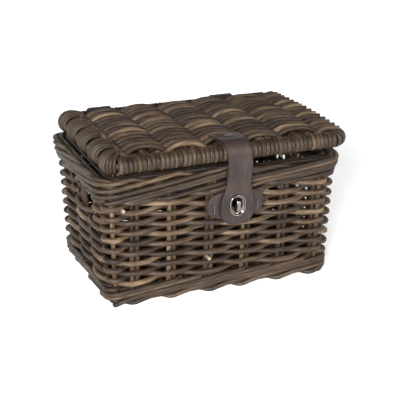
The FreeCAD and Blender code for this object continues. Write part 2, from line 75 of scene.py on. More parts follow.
MIDDLE = (RIM_LOW + RIM_HIGH) / 2  # of the rim, in plan
RIM_HALF_X, RIM_HALF_Y = (RIM_HIGH.x - RIM_LOW.x) / 2, (RIM_HIGH.y - RIM_LOW.y) / 2
FOOT_TOP = FOOT_HIGH.z
WALL_TOP = WALL_HIGH.z
RIM_TOP = RIM_HIGH.z
FOOT_INSET = FOOT_LOW.x - RIM_LOW.x  # how far inside the rim the foot's top lies
HEAD_INSET = WALL_LOW.y - RIM_LOW.y  # and the wall's head
LID_Z = (HOOP_LOW.z + HOOP_HIGH.z) / 2
ROD = HOOP_HIGH.z - HOOP_LOW.z
EDGE = EDGE_HIGH.z - EDGE_LOW.z
LID_LEFT, LID_RIGHT = HOOP_LOW.x + ROD / 2 + 5 * MM, HOOP_HIGH.x - ROD / 2 + 8 * MM
LID_FRONT, LID_BACK = HOOP_LOW.y + ROD / 2, HOOP_HIGH.y - ROD / 2
LOCK_X, LOCK_Z = (RING_LOW.x + RING_HIGH.x) / 2, (RING_LOW.z + RING_HIGH.z) / 2
LEATHER = FLAP_HIGH.y - FLAP_LOW.y

# ---- cane ----
CANE = 8.3 * MM
STAKE = 7.4 * MM
THICK_CANE = 6.9 * MM  # canes of the two borders
STEP = 4.0 * MM  # spacing of the points that a cane's path is made of
REACH = 7.3 * MM  # from the middle of the stakes to the middle of a cane that passes them
CORNER = 26.0 * MM  # corners of the walls' middle line
REFERENCE_INSET = 10.0 * MM
ROW_FIRST = 38.5 * MM  # middle of the lowest row
ROW_PITCH = 8.2 * MM
ROWS = 17
PAIR = 8.6 * MM  # between the two stakes of a pair

# where the stakes stand: along X on the front and back, along Y on the sides, from the rim's middle
FRONT_STOPS = [x * MM for x in (-139, -81, -21, 40, 101, 158)]
BACK_STOPS = [x * MM for x in (139, 81, 22, -38, -98)]
RIGHT_STOPS = [y * MM for y in (-64, -2, 74)]
LEFT_STOPS = [y * MM for y in (74, -2, -64)]
HAND_FRONT, HAND_BACK = -83.0 * MM, 26.0 * MM  # stakes beside the hand holds
HAND_LOW = 132.0 * MM


# ---- shader and geometry trees ----
FIRM = 1.15  # how squarely a woven cane's wave turns at a stake
CREST = 1.30  # brings the squared wave's crest back to the cane's reach


def node(tree, kind, inputs=None, **settings):
    """Adds a node with its settings; each input is a value, another node, or one of its outputs."""
    made = tree.nodes.new(kind)
    for name, value in settings.items():
        setattr(made, name, value)
    for key, value in (inputs or {}).items():
        if isinstance(value, bpy.types.Node):
            value = value.outputs[0]
        if isinstance(value, bpy.types.NodeSocket):
            tree.links.new(value, made.inputs[key])
        else:
            made.inputs[key].default_value = value
    return made


def maths(tree, operation, *values):
    return node(tree, "ShaderNodeMath", dict(enumerate(values)), operation=operation)


def scaled(tree, vector, factor):
    return node(tree, "ShaderNodeVectorMath", {0: vector, "Scale": factor}, operation="SCALE")


def mapped(tree, value, *limits):
    """A value taken from one range to another: from low, from high, to low, to high."""
    return node(tree, "ShaderNodeMapRange", dict(enumerate((value, *limits))))


def noise(tree, where, scale, detail=2.0, roughness=0.5, line=False):
    """Noise in space, or along a line, where the place is one number."""
    inputs = {"W" if line else "Vector": where, "Scale": scale, "Detail": detail, "Roughness": roughness}
    return node(tree, "ShaderNodeTexNoise", inputs, noise_dimensions="1D" if line else "3D")


def mixed(tree, share, first, second, kind="RGBA", way="MIX"):
    """Mixes two colours, or two numbers."""
    one, other, result = {"RGBA": (6, 7, 2), "FLOAT": (2, 3, 0)}[kind]
    made = node(tree, "ShaderNodeMix", {0: share, one: first, other: second}, data_type=kind, blend_type=way)
    return made.outputs[result]


def attribute(tree, name, output="Fac"):
    return node(tree, "ShaderNodeAttribute", attribute_name=name).outputs[output]


def colour(sheet):
    """Linear colour of an sRGB hex value."""
    values = [int(sheet[i:i + 2], 16) / 255 for i in (1, 3, 5)]
    return [v / 12.92 if v <= 0.04045 else ((v + 0.055) / 1.055) ** 2.4 for v in values] + [1.0]


def ramp(tree, fac, stops):
    made = node(tree, "ShaderNodeValToRGB", {"Fac": fac})
    elements = made.color_ramp.elements
    while len(elements) < len(stops):
        elements.new(0.5)
    for element, (place, tone) in zip(elements, stops):
        element.position = place
        element.color = colour(tone)
    return made


def new_material(name):
    """A node material with its shader, ready to be fed."""
    made = bpy.data.materials.new(name)
    made.use_nodes = True
    return made, made.node_tree, made.node_tree.nodes["Principled BSDF"]


def finish_surface(tree, shader, tone, height, relief, rough, specular):
    """Tone, relief and gloss of cane and leather. Relief is its strength and its depth in metres."""
    strength, depth = relief
    bump = node(tree, "ShaderNodeBump", {"Height": height, "Strength": strength, "Distance": depth})
    tree.links.new(tone, shader.inputs["Base Color"])
    tree.links.new(bump.outputs[0], shader.inputs["Normal"])
    tree.links.new(rough.outputs[0], shader.inputs["Roughness"])
    shader.inputs["IOR"].default_value = 1.5
    shader.inputs["Specular IOR Level"].default_value = specular


def cane_material(name, tones, gloss):
    """Round rattan, steamed and weathered: each cane has its own tone, with long fibres and worn patches.

    Reads the attributes that the cane trees leave: along (m), section (unit circle) and strand (0 to 1).
    """
    material, tree, shader = new_material(name)
    along, strand = attribute(tree, "along"), attribute(tree, "strand")
    split = node(tree, "ShaderNodeSeparateXYZ", {0: attribute(tree, "section", "Vector")})
    shift = maths(tree, "MULTIPLY", strand, 57.0)

    def along_cane(per_metre):
        return maths(tree, "MULTIPLY_ADD", along, per_metre, shift)

    def on_cane(per_metre):
        parts = {0: split.outputs[0], 1: split.outputs[1], 2: along_cane(per_metre)}
        return node(tree, "ShaderNodeCombineXYZ", parts)

    # fibres: vessels drawn about 0.8 mm wide and 60 mm long
    fibre = noise(tree, on_cane(18.0), 3.4, 4.0, 0.6)
    # a cane's tone drifts along it: over some 120 mm, and in blotches of 30 mm
    drift = noise(tree, along_cane(8.0), 1.0, 1.0, line=True)
    base = ramp(tree, mixed(tree, 0.62, strand, drift, "FLOAT"), tones)
    worn = ramp(tree, noise(tree, on_cane(34.0), 1.1, 3.0), [(0.36, "#a69a90"), (0.6, "#ffffff")])
    aged = mixed(tree, 0.8, base, worn, way="MULTIPLY")
    streak = ramp(tree, fibre, [(0.38, "#8d8279"), (0.58, "#ffffff")])
    streaked = mixed(tree, 0.8, aged, streak, way="MULTIPLY")
    # leaf scars: a thin darker ring every 180 mm or so
    scar_at = maths(tree, "FRACT", along_cane(5.5))
    scar = maths(tree, "MULTIPLY", maths(tree, "COMPARE", scar_at, 0.5, 0.005), 0.6)
    scarred = mixed(tree, scar, streaked, colour("#2e241c"))
    rough = mapped(tree, fibre, 0.3, 0.7, gloss + 0.16, gloss)
    finish_surface(tree, shader, scarred, fibre, (0.3, 0.4 * MM), rough, 0.28)
    return material


def leather_material(name):
    """Oiled brown leather: fine pebble grain, a streaky finish along the strap, edges burnished darker.

    Reads the attributes that the leather pieces carry: along and across (m) and edge (0 to 1).
    """
    material, tree, shader = new_material(name)
    along, across, edge = [attribute(tree, label) for label in ("along", "across", "edge")]
    where = node(tree, "ShaderNodeTexCoord").outputs["Object"]
    # streaks about 1 mm wide and 40 mm long, and clouds of 25 mm
    slow, fast = maths(tree, "MULTIPLY", along, 28.0), maths(tree, "MULTIPLY", across, 900.0)
    streak = noise(tree, node(tree, "ShaderNodeCombineXYZ", {0: fast, 1: slow}), 1.0, 4.0)
    both = mixed(tree, 0.5, streak, noise(tree, where, 40.0, 3.0), "FLOAT")
    base = ramp(tree, both, [(0.36, "#1f1715"), (0.5, "#2a201e"), (0.64, "#3a2e2a")])
    burnished = mixed(tree, edge, base, colour("#1a1312"))
    # pebbles about 0.7 mm across
    grain = node(tree, "ShaderNodeTexVoronoi", {"Vector": where, "Scale": 1400.0})
    height = mixed(tree, 0.5, grain, noise(tree, where, 260.0, 5.0), "FLOAT")
    rough = mapped(tree, streak, 0.35, 0.65, 0.62, 0.46)
    finish_surface(tree, shader, burnished, height, (0.35, 0.25 * MM), rough, 0.3)
    return material


def metal_material(name, tone, roughness):
    """Plated or drawn metal with faint handling marks about 2 mm across."""
    material, tree, shader = new_material(name)
    where = node(tree, "ShaderNodeTexCoord").outputs["Object"]
    rough = mapped(tree, noise(tree, where, 500.0, 3.0), 0.3, 0.7, roughness * 0.7, roughness * 1.4)
    tree.links.new(rough.outputs[0], shader.inputs["Roughness"])
    shader.inputs["Base Color"].default_value = colour(tone)
    shader.inputs["Metallic"].default_value = 1.0
    return material


def plain_material(name, tone, roughness):
    material, _, shader = new_material(name)
    shader.inputs["Base Color"].default_value = colour(tone)
    shader.inputs["Roughness"].default_value = roughness
    return material


def new_tree(name, inputs):
    """Geometry tree with geometry in and out and the named inputs given as (name, socket kind, value)."""
    tree = bpy.data.node_groups.new(name, "GeometryNodeTree")
    tree.interface.new_socket("Geometry", in_out="INPUT", socket_type="NodeSocketGeometry")
    tree.interface.new_socket("Geometry", in_out="OUTPUT", socket_type="NodeSocketGeometry")
    for label, kind, value in inputs:
        socket = tree.interface.new_socket(label, in_out="INPUT", socket_type="NodeSocket" + kind)
        if value is not None:
            socket.default_value = value
    return tree, tree.nodes.new("NodeGroupInput").outputs


def carried(tree, name, kind="FLOAT"):
    """An attribute that the geometry carries."""
    return node(tree, "GeometryNodeInputNamedAttribute", {"Name": name}, data_type=kind)


def stored(tree, geometry, name, value, kind="FLOAT", domain="POINT"):
    return node(tree, "GeometryNodeStoreNamedAttribute", {0: geometry, "Name": name, "Value": value},
                data_type=kind, domain=domain)


def chance(tree, which, given, low=0.0, high=1.0):
    """A random number for each cane or turn."""
    inputs = {2: low, 3: high, "ID": which, "Seed": given["Seed"]}
    return node(tree, "FunctionNodeRandomValue", inputs, data_type="FLOAT").outputs[1]


def circle(tree, points, radius):
    return node(tree, "GeometryNodeCurvePrimitiveCircle", {"Resolution": points, "Radius": radius})


def finish_tree(tree, geometry, given):
    """Every tree ends in real, smooth geometry with its material."""
    real = node(tree, "GeometryNodeRealizeInstances", {0: geometry})
    smooth_faces = node(tree, "GeometryNodeSetShadeSmooth", {0: real})
    done = node(tree, "GeometryNodeSetMaterial", {0: smooth_faces, "Material": given["Material"]})
    tree.links.new(done.outputs[0], tree.nodes.new("NodeGroupOutput").inputs[0])


def cane_tubes(tree, curves, given):
    """Round canes along curves, a little uneven in thickness, with what the cane material reads."""
    length = node(tree, "GeometryNodeSplineParameter").outputs["Length"]
    tone = chance(tree, node(tree, "FunctionNodeFloatToInt", {0: carried(tree, "line")}), given)
    marked = stored(tree, stored(tree, curves, "strand", tone), "along", length)
    swell = noise(tree, maths(tree, "MULTIPLY_ADD", length, 9.0, tone), 2.0, line=True)
    girth = maths(tree, "MULTIPLY", mapped(tree, swell, 0.2, 0.8, 0.9, 1.1), carried(tree, "girth"))
    radius = maths(tree, "MULTIPLY", girth, maths(tree, "MULTIPLY", given["Cane"], 0.5))
    place = node(tree, "GeometryNodeInputPosition")
    ring = stored(tree, circle(tree, given["Sides"], 1.0), "section", place, "FLOAT_VECTOR")
    return node(tree, "GeometryNodeCurveToMesh", {0: marked, 1: ring, "Scale": radius, "Fill Caps": True})


CANE_INPUTS = [("Cane", "Float", CANE), ("Sides", "Int", 9), ("Seed", "Int", SEED),
               ("Material", "Material", None)]


def plain_cane_tree():
    """Turns guide lines to canes."""
    tree, given = new_tree("canes along lines", CANE_INPUTS)
    curves = node(tree, "GeometryNodeMeshToCurve", {0: given["Geometry"]})
    finish_tree(tree, cane_tubes(tree, curves, given), given)
    return tree


def woven_cane_tree():
    """Turns each guide line to a cane that passes the stakes on one side, then on the other.

    The guide carries phase (half a turn from one stake to the next, with 0 outside), out (across the sheet)
    and up (along the stakes). A cane lies flat against the stakes that it passes, and strays along them.
    """
    tree, given = new_tree("woven canes", CANE_INPUTS + [
        ("Reach", "Float", REACH), ("Stray", "Float", 0.6 * MM)])
    phase, line = carried(tree, "phase"), carried(tree, "line")
    wave = maths(tree, "TANH", maths(tree, "MULTIPLY", maths(tree, "COSINE", phase), FIRM))
    reach = maths(tree, "MULTIPLY", maths(tree, "MULTIPLY", wave, given["Reach"]), CREST)
    across = scaled(tree, carried(tree, "out", "FLOAT_VECTOR"), reach)
    stray = noise(tree, maths(tree, "MULTIPLY_ADD", line, 77.7, phase), 0.4, 1.0, line=True)
    level = mapped(tree, stray, 0.25, 0.75, -1.0, 1.0)
    upward = scaled(tree, carried(tree, "up", "FLOAT_VECTOR"),
                    maths(tree, "MULTIPLY", level, given["Stray"]))
    offset = node(tree, "ShaderNodeVectorMath", {0: across, 1: upward}, operation="ADD")
    moved = node(tree, "GeometryNodeSetPosition", {0: given["Geometry"], "Offset": offset})
    curves = node(tree, "GeometryNodeMeshToCurve", {0: moved})
    finish_tree(tree, cane_tubes(tree, curves, given), given)
    return tree


def winding_tree():
    """Winds cane round a line: one closed turn at every pitch, square to the line, at the line's girth."""
    tree, given = new_tree("wound cane", [
        ("Pitch", "Float", 5.0 * MM), ("Strip Width", "Float", 5.0 * MM),
        ("Strip Thickness", "Float", 1.6 * MM), ("Tilt", "Float", 0.08), ("Ring Points", "Int", 24),
        ("Seed", "Int", SEED), ("Material", "Material", None)])
    curves = node(tree, "GeometryNodeMeshToCurve", {0: given["Geometry"]})
    spaced = node(tree, "GeometryNodeResampleCurve", {0: curves, "Length": given["Pitch"]},
                  mode="LENGTH")
    index = node(tree, "GeometryNodeInputIndex")
    across = node(tree, "ShaderNodeCombineXYZ", {0: given["Strip Width"],
                                                 1: given["Strip Thickness"], 2: 1.0})
    profile = node(tree, "GeometryNodeTransform", {0: circle(tree, 6, 0.5), "Scale": across})
    ring = circle(tree, given["Ring Points"], 1.0)
    length = node(tree, "GeometryNodeSplineParameter").outputs["Length"]
    tangent = node(tree, "GeometryNodeInputTangent")
    # each ring's own X axis points up, which fixes how the strip lies on it
    axes = node(tree, "FunctionNodeAxesToRotation", {0: tangent, 1: (0.0, 0.0, 1.0)}, primary_axis="Z",
                secondary_axis="X")
    lean = scaled(tree, (1.0, 1.0, 0.3), given["Tilt"])
    limits = {0: scaled(tree, lean, -1.0), 1: lean, "ID": index, "Seed": given["Seed"]}
    tilt = node(tree, "FunctionNodeRandomValue", limits, data_type="FLOAT_VECTOR")
    as_turn = node(tree, "FunctionNodeEulerToRotation", {0: tilt.outputs[0]})
    facing = node(tree, "FunctionNodeRotateRotation", {0: axes, 1: as_turn}, rotation_space="LOCAL")
    size = scaled(tree, carried(tree, "rings", "FLOAT_VECTOR"), chance(tree, index, given, 0.985, 1.015))
    placed = node(tree, "GeometryNodeInstanceOnPoints",
                  {0: spaced, "Instance": ring, "Rotation": facing, "Scale": size})
    toned = stored(tree, placed, "strand", chance(tree, index, given), domain="INSTANCE")
    real = node(tree, "GeometryNodeRealizeInstances", {0: toned})
    along = stored(tree, real, "along", length)
    on_unit = scaled(tree, node(tree, "GeometryNodeInputPosition"), 300.0)
    marked = stored(tree, profile, "section", on_unit, "FLOAT_VECTOR")
    finish_tree(tree, node(tree, "GeometryNodeCurveToMesh", {0: along, 1: marked}), given)
    return tree


# ---- guides ----
def guide(lines, **attributes):
    """A mesh of lines. Each attribute is a list with one array for each line, floats or vectors."""
    points = np.concatenate(lines)
    edges, start = [], 0
    for line in lines:
        count = len(line)
        edges += [(start + i, start + i + 1) for i in range(count - 1)]
        start += count
    mesh = bpy.data.meshes.new("guide")
    mesh.from_pydata(points.tolist(), edges, [])
    attributes.setdefault("girth", [np.ones(len(line)) for line in lines])
    attributes["line"] = [np.full(len(line), float(i)) for i, line in enumerate(lines)]
    for name, values in attributes.items():
        joined = np.concatenate(values).astype(np.float32)
        vector = joined.ndim == 2
        layer = mesh.attributes.new(name, "FLOAT_VECTOR" if vector else "FLOAT", "POINT")
        layer.data.foreach_set("vector" if vector else "value", joined.ravel())
    return linked("guide", mesh)


def grown(name, tree, start, material, **values):
    """Runs a tree on a guide and returns the result as a plain mesh object."""
    modifier = start.modifiers.new("grow", "NODES")
    modifier.node_group = tree
    values["Material"] = material
    for item in tree.interface.items_tree:
        if item.in_out == "INPUT" and item.name.replace(" ", "_") in values:
            modifier[item.identifier] = values[item.name.replace(" ", "_")]
    mesh = evaluated(start)
    bpy.data.objects.remove(start)
    return show(name, mesh, material)


def linked(name, data):
    made = bpy.data.objects.new(name, data)
    bpy.context.scene.collection.objects.link(made)
    return made


def show(name, mesh, material):
    mesh.name = name
    if not mesh.materials:
        mesh.materials.append(material)
    return linked(name, mesh)


def evaluated(made):
    """The object's mesh with its modifiers applied."""
    depsgraph = bpy.context.evaluated_depsgraph_get()
    return bpy.data.meshes.new_from_object(made.evaluated_get(depsgraph), preserve_all_data_layers=True,
                                           depsgraph=depsgraph)


def round_turn(count):
    return np.linspace(0, 2 * math.pi, count, endpoint=False)


def all_along(line, *direction):
    return np.tile(direction, (len(line), 1))


def stands_for(piece, body, slot, *nodes):
    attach(piece, body)
    if nodes:
        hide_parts(*nodes)
    return piece


# ---- the outline of the walls ----
def inset_at(z):
    """How far inside the rim the outside of the basket lies at height z."""
    heights = [0.0, 12 * MM, FOOT_TOP, WALL_TOP, WALL_TOP + 16 * MM, RIM_TOP]
    return np.interp(z, heights, [22 * MM, 15 * MM, FOOT_INSET, HEAD_INSET, 0.0, 0.0])


HALF_X, HALF_Y = RIM_HALF_X - REFERENCE_INSET, RIM_HALF_Y - REFERENCE_INSET
RUN_X, RUN_Y, BEND = 2 * (HALF_X - CORNER), 2 * (HALF_Y - CORNER), CORNER * math.pi / 2
LAP = 2 * (RUN_X + RUN_Y) + 4 * BEND


def on_outline(u):
    """Points and outward directions on the walls' outline, u metres round from the front's left end."""
    u = np.mod(np.atleast_1d(u), LAP)
    points, outs = np.zeros((len(u), 2)), np.zeros((len(u), 2))
    start = 0.0
    for k, run in enumerate((RUN_X, RUN_Y, RUN_X, RUN_Y)):
        a = math.radians(90 * k)
        ahead, out = np.array([math.cos(a), math.sin(a)]), np.array([math.sin(a), -math.cos(a)])
        half_run, half_deep = (HALF_X - CORNER, HALF_Y) if k % 2 == 0 else (HALF_Y - CORNER, HALF_X)
        begin = out * half_deep - ahead * half_run
        on = (u >= start) & (u < start + run)
        points[on] = begin + np.outer(u[on] - start, ahead)
        outs[on] = out
        start += run
        centre = ahead * half_run + out * (half_deep - CORNER)
        on = (u >= start) & (u < start + BEND)
        turn = (u[on] - start) / CORNER
        outs[on] = np.outer(np.cos(turn), out) + np.outer(np.sin(turn), ahead)
        points[on] = centre + outs[on] * CORNER
        start += BEND
    return points, outs


def on_wall(u, z, inward):
    """Points of the wall at height z, that far in from its outside, and the outward directions there."""
    z = np.broadcast_to(z, np.shape(u))
    flat, out = on_outline(u)
    flat = flat + out * (REFERENCE_INSET - inset_at(z) - inward)[:, None]
    points = np.column_stack([flat[:, 0] + MIDDLE.x, flat[:, 1] + MIDDLE.y, z])
    return points, np.column_stack([out, np.zeros(len(out))])


def side_place(side, along):
    """How far round the outline a place on a straight side lies."""
    return {"front": along + RUN_X / 2, "right": RUN_X + BEND + along + RUN_Y / 2,
            "back": RUN_X + RUN_Y + 2 * BEND + RUN_X / 2 - along,
            "left": 2 * RUN_X + RUN_Y + 3 * BEND + RUN_Y / 2 - along}[side]


def stake_stops(left, right):
    """Every stake pair's place round the outline, in order; a stop in a corner is a part of its bend."""
    stops = [side_place("front", x) for x in FRONT_STOPS]
    stops.append(RUN_X + 0.78 * BEND)
    stops += [side_place("right", y) for y in right]
    stops.append(RUN_X + RUN_Y + 1.5 * BEND)
    stops += [side_place("back", x) for x in BACK_STOPS]
    stops += [2 * RUN_X + RUN_Y + (2 + share) * BEND for share in (0.1, 0.76)]
    stops += [side_place("left", y) for y in left]
    stops.append(LAP - 0.36 * BEND)
    return stops


STOPS = stake_stops(LEFT_STOPS, RIGHT_STOPS)
HOLD_STOPS = stake_stops((LEFT_STOPS[0], HAND_BACK, HAND_FRONT), (HAND_FRONT, HAND_BACK, RIGHT_STOPS[2]))
WALL_MIDDLE = CANE + STAKE / 2  # from the wall's outside to the middle of its stakes


def phase_at(u, stops):
    """Half a turn from one stake pair to the next, all the way round."""
    before, after = [stop - LAP for stop in stops], [stop + LAP for stop in stops]
    turns = [math.pi * k for k in range(-len(stops), 2 * len(stops))]
    return np.interp(u, before + stops + after, turns)


# ---- pieces of the body ----
BACK_TIGHTER, BACK_THICKER = 0.25, 0.12
INNER_LEFT, INNER_RIGHT = -150 * MM, 112 * MM  # ends of the canes inside the back


def wall_rows(material, tree):
    """Rows of cane round the walls, each outside the stakes that its neighbours pass inside.

    The rows at the hand holds run from one hold to the other and turn round the stakes beside them. The cane
    is a little thicker at the back, and pulled tighter.
    """
    lines, phases, outs, ups, girths = [], [], [], [], []
    turn = 8 * MM
    for row in range(ROWS):
        z = ROW_FIRST + row * ROW_PITCH
        if z < HAND_LOW + 2 * MM:
            u = np.linspace(0, LAP, int(LAP / STEP))
            runs = [(u, phase_at(u, STOPS))]
        else:
            runs = []
            for start, end in ((side_place("left", HAND_FRONT) - LAP, side_place("right", HAND_FRONT)),
                               (side_place("right", HAND_BACK), side_place("left", HAND_BACK))):
                u = np.arange(start - turn, end + turn, STEP * 0.7)
                extra = np.clip((u - end) / turn, 0, 1) - np.clip((start - u) / turn, 0, 1)
                runs.append((u, phase_at(np.clip(u, start, end), HOLD_STOPS) + extra * math.pi / 2))
        for u, phase in runs:
            points, out = on_wall(u, z, WALL_MIDDLE)
            lines.append(points)
            phases.append(phase + math.pi * row)
            back = np.clip(out[:, 1], 0, 1)
            outs.append(out * (1 - BACK_TIGHTER * back)[:, None])
            ups.append(all_along(u, 0.0, 0.0, 1.0))
            girths.append(1 + BACK_THICKER * back)
    start = guide(lines, phase=phases, out=outs, up=ups, girth=girths)
    return grown("wall_weave", tree, start, material, Seed=SEED)


def inner_rows(material, tree):
    """Canes that lie inside the back's stakes and close the gaps between its rows; they are dark, painted shade
    where the gaps show the basket's inside.
    """
    u = np.arange(side_place("back", INNER_RIGHT), side_place("back", INNER_LEFT), STEP)
    heights = [ROW_FIRST + (row + 0.5) * ROW_PITCH for row in range(5, 16)]
    lines = [on_wall(u, z, WALL_MIDDLE + REACH + 3 * MM)[0] for z in heights]
    return grown("back_inner_canes", tree, guide(lines), material, Cane=THICK_CANE, Seed=SEED + 13)


def stakes(material, tree):
    """A pair of upright canes at every stop but the last, which has one, and one at each hand hold's end."""
    rng = np.random.default_rng(SEED + 11)
    places = []
    for k, stop in enumerate(STOPS):
        offsets = (0.0,) if k == len(STOPS) - 1 else (-PAIR / 2, PAIR / 2)
        places += [(stop + offset, FOOT_TOP - 22 * MM) for offset in offsets]
    for side in ("left", "right"):
        places += [(side_place(side, y), HAND_LOW - 8 * MM) for y in (HAND_FRONT, HAND_BACK)]
    lines = []
    for place, low in places:
        z = np.arange(low, WALL_TOP + 22 * MM, STEP)
        lean = rng.normal(0, 0.6 * MM) * (z - low) / (WALL_TOP - low)
        lines.append(on_wall(place + lean, z, WALL_MIDDLE + 0.5 * MM)[0])
    return grown("wall_stakes", tree, guide(lines), material, Cane=STAKE, Seed=SEED + 1, Sides=8)


def smooth(t):
    t = np.clip(t, 0, 1)
    return t * t * (3 - 2 * t)


def border_sag(u, z):
    """Height of the top border's canes: it sags from the front's middle to the right front corner."""
    place = np.mod(u, LAP)
    share = smooth((place - 0.47 * RUN_X) / (70 * MM)) * (1 - smooth((place - RUN_X - BEND) / (60 * MM)))
    return z - 0.26 * share * np.maximum(z - WALL_TOP, 0)


def border_cane(start, run, low, high):
    """One cane of the top border: out from behind, a long slope outside, over the top and down inside."""
    u = np.arange(start - 16 * MM, start + run + 66 * MM, STEP)
    z = low + (high - low) * np.clip((u - start) / run, 0, 1) ** 0.95
    behind = 1 - smooth((u - start + 16 * MM) / (24 * MM))
    over = smooth((u - start - run + 16 * MM) / (70 * MM))
    z = z - 4 * MM * behind - 16 * MM * smooth((u - start - run) / (64 * MM))
    return on_wall(u, border_sag(u, z), THICK_CANE / 2 + behind * 12 * MM + over * 9 * MM)[0]


def top_border(material, tree):
    """Each stake pair's cane runs past the next pairs, up to the rim."""
    rng = np.random.default_rng(SEED)
    lines = []
    for stop in STOPS:
        for extra in (0.0, 9.0 * MM) if rng.random() < 0.1 else (0.0,):
            rise = rng.normal(0, 1.7 * MM)
            start = stop - 10 * MM + extra + rng.normal(0, 5 * MM)
            run = (238 + rng.normal(0, 14)) * MM
            low, high = WALL_TOP - 5 * MM + rise, RIM_TOP - 2.4 * MM + 0.4 * rise
            lines.append(border_cane(start, run, low, high))
    return grown("top_border_canes", tree, guide(lines), material, Cane=THICK_CANE, Seed=SEED + 2)


def border_rings(material, tree):
    """Rings of dark cane that fill both borders from behind, their darkness painted shade in the slots between
    the border canes; each is its height and how far in it lies.
    """
    u = np.linspace(0, LAP, int(LAP / STEP))
    rings = [(z, 15 * MM) for z in np.arange(WALL_TOP - 1 * MM, RIM_TOP - 5 * MM, 6.4 * MM)]
    rings += [(RIM_TOP - 3.8 * MM, 13 * MM), (RIM_TOP - 5 * MM, 24 * MM), (WALL_TOP + 6 * MM, 23 * MM)]
    rings += [(FOOT_TOP - 6 * MM, 13 * MM), (FOOT_TOP - 15 * MM, 14 * MM)]
    rings += [(15 * MM, 12 * MM), (8.5 * MM, 10 * MM)]
    lines = [on_wall(u, border_sag(u, z), inward)[0] for z, inward in rings]
    return grown("border_ring_canes", tree, guide(lines), material, Cane=THICK_CANE, Seed=SEED + 12)


def foot_border(material, tree):
    """Each cane comes out below the wall, slopes down to the left and turns in under the basket's edge."""
    rng = np.random.default_rng(SEED + 5)
    lines = []
    for stop in STOPS:
        end = stop + rng.normal(0, 4 * MM)
        run = (205 + rng.normal(0, 10)) * MM
        u = np.arange(end - 44 * MM, end + run + 20 * MM, STEP)
        z = 12 * MM + (FOOT_TOP - 13.5 * MM) * np.clip((u - end) / run, 0, 1)
        under = 1 - smooth((u - end + 40 * MM) / (40 * MM))
        z = z - 8.2 * MM * np.exp(-((u - end + 8 * MM) / (22 * MM)) ** 2) + 2 * MM * under
        behind = smooth((u - end - run) / (20 * MM))
        lines.append(on_wall(u, z, THICK_CANE / 2 + under * 34 * MM + behind * 11 * MM)[0])
    return grown("foot_border_canes", tree, guide(lines), material, Cane=THICK_CANE, Seed=SEED + 3)


def cut_ends(material, tree):
    """Pale cut ends of two canes that stick out of the front."""
    lines = []
    for x, z in ((-160 * MM, 160 * MM), (-24 * MM, 62 * MM)):
        points, out = on_wall(np.array([side_place("front", x)]), z, 0.0)
        lines.append(np.array([points[0] + out[0] * (-14 + 5 * k) * MM for k in range(4)]))
    return grown("cut_cane_ends", tree, guide(lines), material, Cane=5.4 * MM, Seed=SEED + 8)


def base_weave(material, tree):
    """Rows of cane from front to back, over and under the sticks that run from side to side."""
    pitch = 6.8 * MM
    xs = np.arange(BASE_LOW.x + 6 * MM, BASE_HIGH.x - 4 * MM, pitch)
    y = np.arange(BASE_LOW.y - 2 * MM, BASE_HIGH.y + 6 * MM, STEP)
    sticks = np.linspace(STICK_LOW.y + 4 * MM, STICK_HIGH.y - 4 * MM, 6)
    z = np.full(len(y), (STICK_LOW.z + STICK_HIGH.z) / 2)
    lines = [np.column_stack([np.full(len(y), x), y, z]) for x in xs]
    phase = [math.pi * (y - sticks[0]) / (sticks[1] - sticks[0]) + math.pi * k for k in range(len(xs))]
    out = [all_along(y, 0.0, 0.0, -1.0)] * len(xs)
    up = [all_along(y, 1.0, 0.0, 0.0)] * len(xs)
    return grown("base_weave", tree, guide(lines, phase=phase, out=out, up=up), material, Cane=7.9 * MM,
                 Reach=6.6 * MM, Stray=0.2 * MM, Sides=7, Seed=SEED + 4)


# ---- pieces of the lid ----
RIBS = [k * 61 * MM + 5 * MM for k in (-2, -1, 0, 1, 2)]
LID_PITCH = 7.7 * MM
LID_CANE = 7.8 * MM
LID_RISE = 8.0 * MM  # the woven sheet's middle above the hoop's middle
HOOP_BEND = 17.0 * MM
HALF_EDGE = EDGE / 2
ROLL_HALF = 20.0 * MM  # half the width of the wide winding at the lid's left
ROLL_HIGH = 15.5 * MM  # and half its height
ROLL_TURN = 0.75  # how much of each corner's bend it covers
FAN_OUT, FAN_IN = 0.41, 0.34  # a bundle's spread over the edge and where it starts


def lid_weave(material, tree):
    """Rows of cane from the left winding over and under the ribs to the right edge, crowned in the middle."""
    rng = np.random.default_rng(SEED + 21)
    rows = np.arange(LID_FRONT + HALF_EDGE + 1 * MM, LID_BACK - 17 * MM, LID_PITCH)
    stops = [RIBS[0] - 61 * MM] + RIBS + [LID_RIGHT]
    turns = [math.pi * k for k in range(len(stops))]
    left = LID_LEFT - HALF_EDGE + 2 * ROLL_HALF - 14 * MM
    lines, phases, outs, ups = [], [], [], []
    for row, y in enumerate(rows):
        x = np.arange(left, LID_RIGHT + 4 * MM, STEP)
        crown = 3 * MM * math.sin(math.pi * (y - rows[0]) / (rows[-1] - rows[0]))
        fall = smooth((x - LID_RIGHT + 30 * MM) / (30 * MM)) * 4.5 * MM
        sway = np.interp(x, stops, rng.normal(0, 0.9 * MM, len(stops)))
        z = LID_Z + LID_RISE + crown - fall
        lines.append(np.column_stack([x, y + sway, z]))
        phases.append(np.interp(x, stops, turns) + math.pi * row)
        outs.append(all_along(x, 0.0, 0.0, 1.0))
        ups.append(all_along(x, 0.0, -1.0, 0.0))
    return grown("lid_weave", tree, guide(lines, phase=phases, out=outs, up=ups), material, Cane=LID_CANE,
                 Reach=8.8 * MM, Stray=0.9 * MM, Seed=SEED + 6)


def lid_ribs(material, tree):
    ys = np.arange(LID_FRONT, LID_BACK, 10 * MM)
    lines = [np.array([[x, y, LID_Z + LID_RISE] for y in ys]) for x in RIBS]
    return grown("lid_rib_canes", tree, guide(lines), material, Cane=9 * MM, Seed=SEED + 7)


